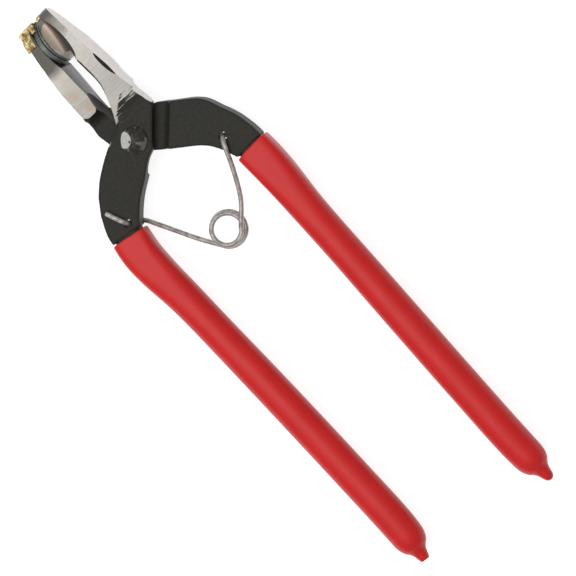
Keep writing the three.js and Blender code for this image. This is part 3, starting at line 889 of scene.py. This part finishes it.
def lower_lever(steel):
    """The lever whose jaw is the lower one, with a hollow between its land and its inner face."""
    plan = prism(
        runs(
            [(-24.6, -19.7)],
            [(-24.2, -29.6)],
            [(-20.3, -29.3), (-14.8, -28.1), (-10.2, -26.2), (-4.4, -23.4), (1.2, -16.1), (4.1, -11.9)],
            [(6.2, -7.0), (8.5, -2.2), (12.5, 0.6)],
            [(16, 0.7)],
            [(16, 7.0)],
            [(13.7, 7.3)],
            [
                (8.6, 8.1), (3.8, 7.2), (-1.5, 6.7), (-4.4, 5.4),
                (-6.0, 3.9), (-6.6, 2.4), (-6.2, 0.9), (-5.4, -1.0),
            ],
            [(-7.4, -3.6), (-10.9, -8.8), (-15.5, -14.9), (-19.7, -17.7), (-24.6, -19.7)],
        ),
        -HALF_THICK, HALF_THICK,
    )
    bar = prism(
        runs(
            [(8.4, -1.6), (12.5, 0.35)],
            [(21, 0.6), (29.9, 0.6)],
            bite(LOWER_BACK + 0.05, 30.4, LOWER_TIP),
            [(LOWER_TIP, 3.3), (38, 4.7)],
            [(24, 6.4), (14, 7.0), (8.4, 8.1)],
        ),
        -9, 9,
    )
    combine(bar, side_prism(jaw_plan(LOWER_TIP, 0.3), -12, 12), operation="INTERSECT")
    land_end = prism([(5, -6), (LAND_END[0] + 0.6, -6), (LAND_END[0] + 0.6, 10), (5, 10)], 3.9, 12)
    combine(land_end, post(LAND_HALF_WIDTH, LAND_END))
    combine(bar, land_end)
    combine(plan, bar, operation="UNION")
    combine(plan, lap_space(1, -ARM_ANGLE))
    body = forge(plan, steel.skin_step, 9, bump=0.05, scale=0.25)
    inner = [(12.7, 0.65), (16, 0.85), (21, 0.9), (30.2, 0.9), (30.2, -4), (12.7, -4)]
    combine(body, prism(inner, -12, 12, BRUSHED))
    for side in (1, -1):
        combine(body, side_waste(LOWER_TIP, side, GROUND))
    combine(body, ball((12.0, -1.5, 3.0), (11.0, 3.4, 8.0), detail=64))
    combine(body, lap_space(1, -ARM_ANGLE, 0.15))
    combine(body, post(2.56, (0, 0)), post(HOLE_RADIUS, LOWER_HOLE))
    combine(body, Handle(RIGHT_LINE, RIGHT_EXTRA).core(), operation="UNION")
    return body


def insert(face, back):
    """A round carbide plate that follows the bite line."""
    low, high = sorted((face, back))
    start, end = INSERT_CENTRE - 9, INSERT_CENTRE + 9
    plate = prism([*bite(low, start, end), *reversed(bite(high, start, end))], -10, 10)
    combine(plate, insert_plan(), operation="INTERSECT")
    return forge(plate, 0.2, 3, bump=0.012, scale=0.6)


def lumps(obj, voxel, seed, depth):
    """Runs braze into lumps that stay inside the solid they started as."""
    forge(obj, voxel, 4)
    mesh = obj.data
    points = np.array([v.co for v in mesh.vertices], float)
    normals = np.array([v.normal for v in mesh.vertices], float)
    shift = Vector((seed * 7.3, seed * 3.1, seed * 5.7))
    low = np.array([noise.fractal(Vector(q) * 0.55 + shift, 1.0, 2.1, 3) for q in points])
    sink = depth * (0.45 - 0.75 * low).clip(0.0, 1.3)
    points -= normals * sink[:, None]
    mesh.vertices.foreach_set("co", points.astype(np.float32).ravel())
    mesh.update()
    return obj


def insert_slot():
    """The space that the lower insert takes up."""
    start, end = INSERT_CENTRE - 9, INSERT_CENTRE + 9
    slot = prism([*bite(-0.1, start, end), *reversed(bite(LOWER_BACK + 0.03, start, end))], -10, 10)
    return combine(slot, insert_plan(-0.03), operation="INTERSECT")


def lower_braze():
    """The cap of braze over the lower jaw's end, with a lip round the end of the insert."""

    def block(grow):
        edge = [(39.5, 1.75), (LOWER_TIP + grow, 0.4), (LOWER_TIP + grow, 3.3 + grow), (39.5, 4.4 + grow)]
        made = prism(edge, -12, 12)
        return combine(made, side_prism(jaw_plan(LOWER_TIP, grow), -12, 12), operation="INTERSECT")

    end = LOWER_TIP + 0.9
    lip = prism([(43.2, -0.9), (45.3, -1.4), (end - 0.1, -1.4), (end, 0.6), (43.2, 1.0)], -6.8, 6.8)
    combine(lip, side_prism(jaw_plan(LOWER_TIP, 0.9), -12, 12), operation="INTERSECT")
    combine(lip, insert_plan(-0.05))
    made = combine(block(0.9), lip, operation="UNION")
    return combine(lumps(made, 0.16, 1.0, 0.6), block(0.02), insert_slot())


def upper_braze():
    """The fillet of braze down the upper jaw's end."""
    edge = [
        (-3.0, -4.5), (0.15, -4.5), (0.3, -3.6), (0.25, -2.7), (-0.1, -2.0),
        (-0.5, -1.75), (-1.2, -2.0), (-2.0, -2.8), (-3.0, -3.5),
    ]
    made = prism([(UPPER_TIP + x, y) for x, y in edge], -6.6, 1.6)
    combine(made, side_prism(jaw_plan(UPPER_TIP, 0.3), -12, 12), operation="INTERSECT")
    combine(made, insert_plan(-0.05))
    return lumps(made, 0.14, 2.0, 0.12)


def rivet():
    """A pin peened over at both ends, with one blow's facet and a pit on the near head."""
    seat = HALF_THICK + 0.05
    rim = seat + 0.45
    head = [(HEAD_RADIUS - 0.25, seat), (HEAD_RADIUS, seat + 0.25), (HEAD_RADIUS, rim)]
    for i in range(1, 15):
        out = 1 - i / 14
        head.append((HEAD_RADIUS * out + 0.02, rim + (HEAD_TOP - rim) * (1 - out ** 2) ** 0.9))
    half = [(2.5, seat), *head]
    profile = [(r, -z) for r, z in reversed(half)] + half
    rings = []
    for radius, z in profile:
        ring = []
        for k in range(96):
            a = 2 * math.pi * k / 96
            lobe = 1 + 0.016 * math.sin(7 * a + 1.0) * (abs(z) > seat + 0.6)
            ring.append((radius * lobe * math.cos(a), radius * lobe * math.sin(a), z))
        rings.append(ring)
    body = skin(rings)
    facet = prism([(-6, -6), (6, -6), (6, 6), (-6, 6)], 0, 6, GROUND)
    lean = Matrix.Rotation(math.radians(46.6), 4, "Z") @ Matrix.Rotation(math.radians(30), 4, "Y")
    facet.data.transform(Matrix.Translation((1.85, 1.95, 4.4)) @ lean)
    combine(body, facet)
    combine(body, ball((0.45, 1.0, 5.4), (0.42, 0.34, 0.4), FORGED, detail=20))
    return body


def spring_path():
    """The wire, over the upper lever, down its hole, to the coil and down the lower lever's hole."""
    out = HALF_THICK + WIRE_RADIUS + 0.15
    ux, uy = UPPER_HOLE
    lx, ly = LOWER_HOLE
    points = [
        (ux + 6.7, uy + 2.7, out), (ux + 3.6, uy + 1.5, out), (ux + 1, uy + 0.4, out - 0.1),
        (ux, uy, out - 1.5), (ux, uy, 0), (ux, uy, 1.5 - out),
        (ux - 0.7, uy - 1.1, -out), (-19.1, 15.4, -out - 0.1),
        (-22.9, 13.1, -4), (-28.9, 9.6, -2.9), (-34, 6.6, -1.9),
    ]
    cx, cy = COIL_CENTRE
    for i in range(COIL_STEPS + 1):
        a = math.radians(COIL_START + COIL_TURN * i / COIL_STEPS)
        radius = COIL_RADIUS - COIL_TIGHTENS * i / COIL_STEPS
        height = COIL_RISE * (i / COIL_STEPS - 0.5)
        points.append((cx + radius * math.cos(a), cy + radius * math.sin(a), height))
    points += [
        (-34.3, -11.6, 1.9), (-26.6, -16.2, 3.5), (-20.8, -18.9, out), (lx - 1, ly + 0.5, out - 0.1),
        (lx, ly, out - 1.5), (lx, ly, 0), (lx, ly, 1.5 - out), (lx + 1, ly - 0.4, 0.1 - out),
        (lx + 3.6, ly - 1.5, -out), (lx + 6.7, ly - 2.7, -out),
    ]
    return smooth_line(points, 6)


def grip(handle):
    """A dipped grip: up the outside from the nipple to the mouth, and back down the bore."""
    stops = handle.sections[:, 0]
    outer = [d for d in np.unique(np.concatenate([stops, np.arange(1.2, 119, 1.0)])) if d >= 1.2]
    rings = [handle.ring(d) for d in reversed(outer)]
    for distance, margin in ((0.7, 0.0), (0.35, 0.02), (0.12, 0.12), (0.0, 0.3), (0.0, 0.7), (0.1, 0.9)):
        rings.append(handle.ring(distance, margin))
    margin = GRIP_WALL - 0.06
    rings += [handle.ring(d, margin) for d in (0.25, *range(2, int(CORE_END), 3), CORE_END + 0.3)]
    body = skin(rings)
    for vertex in body.data.vertices:
        q = vertex.co
        along = np.interp(q.x, handle.points[::-1, 0], handle.lengths[::-1])
        if along < 3.0:
            wave = noise.noise(Vector((q.x * 0.1, q.y * 0.55, q.z * 0.55)))
            q.x -= 0.16 * wave * (1 - max(along, 0.0) / 3.0)
    return body


# ---- operators ----
class PLIERS_OT_upper_lever(bpy.types.Operator):
    """Make the upper jaw's lever"""

    bl_idname = "pliers.upper_lever"
    bl_label = "Upper lever"

    def execute(self, context):
        settings = context.scene.pliers_steel
        steel = lever_steel("upper_lever_steel", settings, True)
        place(upper_lever(settings), "upper_jaw_forging", steel, UPPER, "forged_steel", "upper_jaw_lever")
        return {"FINISHED"}


class PLIERS_OT_lower_lever(bpy.types.Operator):
    """Make the lower jaw's lever"""

    bl_idname = "pliers.lower_lever"
    bl_label = "Lower lever"

    def execute(self, context):
        settings = context.scene.pliers_steel
        steel = lever_steel("lower_lever_steel", settings, False)
        place(lower_lever(settings), "lower_jaw_forging", steel, LOWER, "forged_steel", "lower_jaw_lever")
        return {"FINISHED"}


class PLIERS_OT_rivet(bpy.types.Operator):
    """Make the pivot rivet"""

    bl_idname = "pliers.rivet"
    bl_label = "Rivet"

    def execute(self, context):
        steel = rivet_steel()
        place(rivet(), "peened_rivet", steel, UPPER, "rivet_steel", "pivot_rivet")
        return {"FINISHED"}


class PLIERS_OT_inserts(bpy.types.Operator):
    """Make the two carbide inserts"""

    bl_idname = "pliers.inserts"
    bl_label = "Carbide inserts"

    def execute(self, context):
        material = carbide(context.scene.pliers_tips)
        for name, face, back, body in (
            ("upper", UPPER_FACE, UPPER_BACK, UPPER),
            ("lower", LOWER_FACE, LOWER_BACK, LOWER),
        ):
            plate = insert(face, back)
            place(plate, f"{name}_insert_plate", material, body, "carbide", f"{name}_carbide_insert")
        return {"FINISHED"}


class PLIERS_OT_braze(bpy.types.Operator):
    """Make the braze on both tips"""

    bl_idname = "pliers.braze"
    bl_label = "Braze"

    def execute(self, context):
        material = braze(context.scene.pliers_tips)
        place(upper_braze(), "upper_braze_fillet", material, UPPER, "braze", "upper_braze")
        place(lower_braze(), "lower_braze_cap", material, LOWER, "braze", "lower_braze")
        return {"FINISHED"}


class PLIERS_OT_spring(bpy.types.Operator):
    """Make the return spring"""

    bl_idname = "pliers.spring"
    bl_label = "Return spring"

    def execute(self, context):
        path = spring_path()
        radii = [WIRE_RADIUS] * len(path)
        radii[0] = radii[-1] = WIRE_RADIUS * 0.8
        wire = tube(path, radii, 20)
        material = spring_wire(context.scene.pliers_grips)
        place(wire, "spring_wire", material, None, "spring_wire", "return_spring")
        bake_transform(wire)
        return {"FINISHED"}


class PLIERS_OT_grips(bpy.types.Operator):
    """Make the two dipped grips"""

    bl_idname = "pliers.grips"
    bl_label = "Grips"

    def execute(self, context):
        material = red_vinyl(context.scene.pliers_grips)
        for name, handle, body in (
            ("left", Handle(LEFT_LINE), UPPER),
            ("right", Handle(RIGHT_LINE, RIGHT_EXTRA), LOWER),
        ):
            place(grip(handle), f"{name}_vinyl_grip", material, body, "red_vinyl", f"{name}_grip")
        return {"FINISHED"}


class PLIERS_OT_stage(bpy.types.Operator):
    """Make the floor, the lights and the camera"""

    bl_idname = "pliers.stage"
    bl_label = "Stage"

    def execute(self, context):
        settings = context.scene.pliers_stage
        half = 3.0
        corners = [(-half, -half, 0), (half, -half, 0), (half, half, 0), (-half, half, 0)]
        floor = mesh_object("floor", corners, [(0, 1, 2, 3)])
        floor.location.z = CAD_BOX[0].z - 0.0003
        s = Finish("pale_floor")
        grain = s.noise(0.05, 2.0)
        floor.data.materials.append(
            s.surface(
                Base_Color=s.mix(grain, settings.floor_colour, (0.27, 0.27, 0.27)),
                Roughness=0.9,
                Emission_Color=(1.0, 1.0, 1.0, 1.0),
                Emission_Strength=settings.floor_glow,
            )
        )

        world = bpy.data.worlds.new("studio")
        world.use_nodes = True
        world.node_tree.nodes["Background"].inputs["Color"].default_value = (1, 1, 1, 1)
        world.node_tree.nodes["Background"].inputs["Strength"].default_value = 0.35
        context.scene.world = world

        # The wide box lights the whole tool, and isn't mirrored. The flat steel mirrors the small one.
        for name, at, size, power, mirrored in (
            ("wide_box", (0.25, 0.25, 1.2), 1.6, 17.5, False),
            ("flat_box", (0.09, 0.11, 0.5), 0.30, 0.36, True),
        ):
            lamp = bpy.data.lights.new(name, "AREA")
            lamp.size = size
            lamp.energy = power
            holder = bpy.data.objects.new(name, lamp)
            holder.location = at
            holder.rotation_euler = (-Vector(at)).to_track_quat("-Z", "Y").to_euler()
            holder.visible_glossy = mirrored
            context.scene.collection.objects.link(holder)

        # The view looks down on the tool, tipped a little so that the upper jaw's back shows.
        back = Vector(VIEW_BACK).normalized()
        along = (Vector((1, 0, 0)) - back * back.x).normalized()
        across = back.cross(along)
        slant = math.radians(VIEW_SLANT)
        right = along * math.cos(slant) - across * math.sin(slant)
        up = along * math.sin(slant) + across * math.cos(slant)
        width = VIEW_WIDTH * MM
        lens = settings.lens
        camera = bpy.data.cameras.new("camera")
        camera.lens, camera.sensor_width = lens, 36.0
        distance = width * lens / camera.sensor_width
        aim = PIVOT + Vector((0, 0, HALF_THICK * MM)) + (VIEW_RIGHT * right + VIEW_UP * up) * MM
        camera.clip_end = distance * 3
        holder = bpy.data.objects.new("camera", camera)
        turn = Matrix((right, up, back)).transposed()
        holder.matrix_world = Matrix.Translation(aim + back * distance) @ turn.to_4x4()
        context.scene.collection.objects.link(holder)
        context.scene.camera = holder
        context.scene.view_settings.view_transform = "Standard"
        return {"FINISHED"}


class PLIERS_PT_panel(bpy.types.Panel):
    """The pliers' colours and the buttons that make each piece"""

    bl_idname = "PLIERS_PT_panel"
    bl_label = "Grozing Pliers"
    bl_space_type = "VIEW_3D"
    bl_region_type = "UI"
    bl_category = "Pliers"

    def draw(self, context):
        for name, group in GROUPS:
            box = self.layout.box()
            for key in group.__annotations__:
                box.prop(getattr(context.scene, name), key)
        for operator in OPERATORS:
            self.layout.operator(operator.bl_idname)


GROUPS = (
    ("pliers_steel", PliersSteel),
    ("pliers_tips", PliersTips),
    ("pliers_grips", PliersGrips),
    ("pliers_stage", PliersStage),
)
OPERATORS = (
    PLIERS_OT_stage,
    PLIERS_OT_upper_lever,
    PLIERS_OT_lower_lever,
    PLIERS_OT_rivet,
    PLIERS_OT_inserts,
    PLIERS_OT_braze,
    PLIERS_OT_spring,
    PLIERS_OT_grips,
)


def register():
    for name, group in GROUPS:
        bpy.utils.register_class(group)
        setattr(bpy.types.Scene, name, bpy.props.PointerProperty(type=group))
    for operator in OPERATORS:
        bpy.utils.register_class(operator)
    bpy.utils.register_class(PLIERS_PT_panel)


def unregister():
    bpy.utils.unregister_class(PLIERS_PT_panel)
    for operator in reversed(OPERATORS):
        bpy.utils.unregister_class(operator)
    for name, group in reversed(GROUPS):
        delattr(bpy.types.Scene, name)
        bpy.utils.unregister_class(group)


def main():
    """Makes everything."""
    register()
    for operator in OPERATORS:
        group, name = operator.bl_idname.split(".")
        getattr(getattr(bpy.ops, group), name)()


if __name__ == "__main__":
    main()
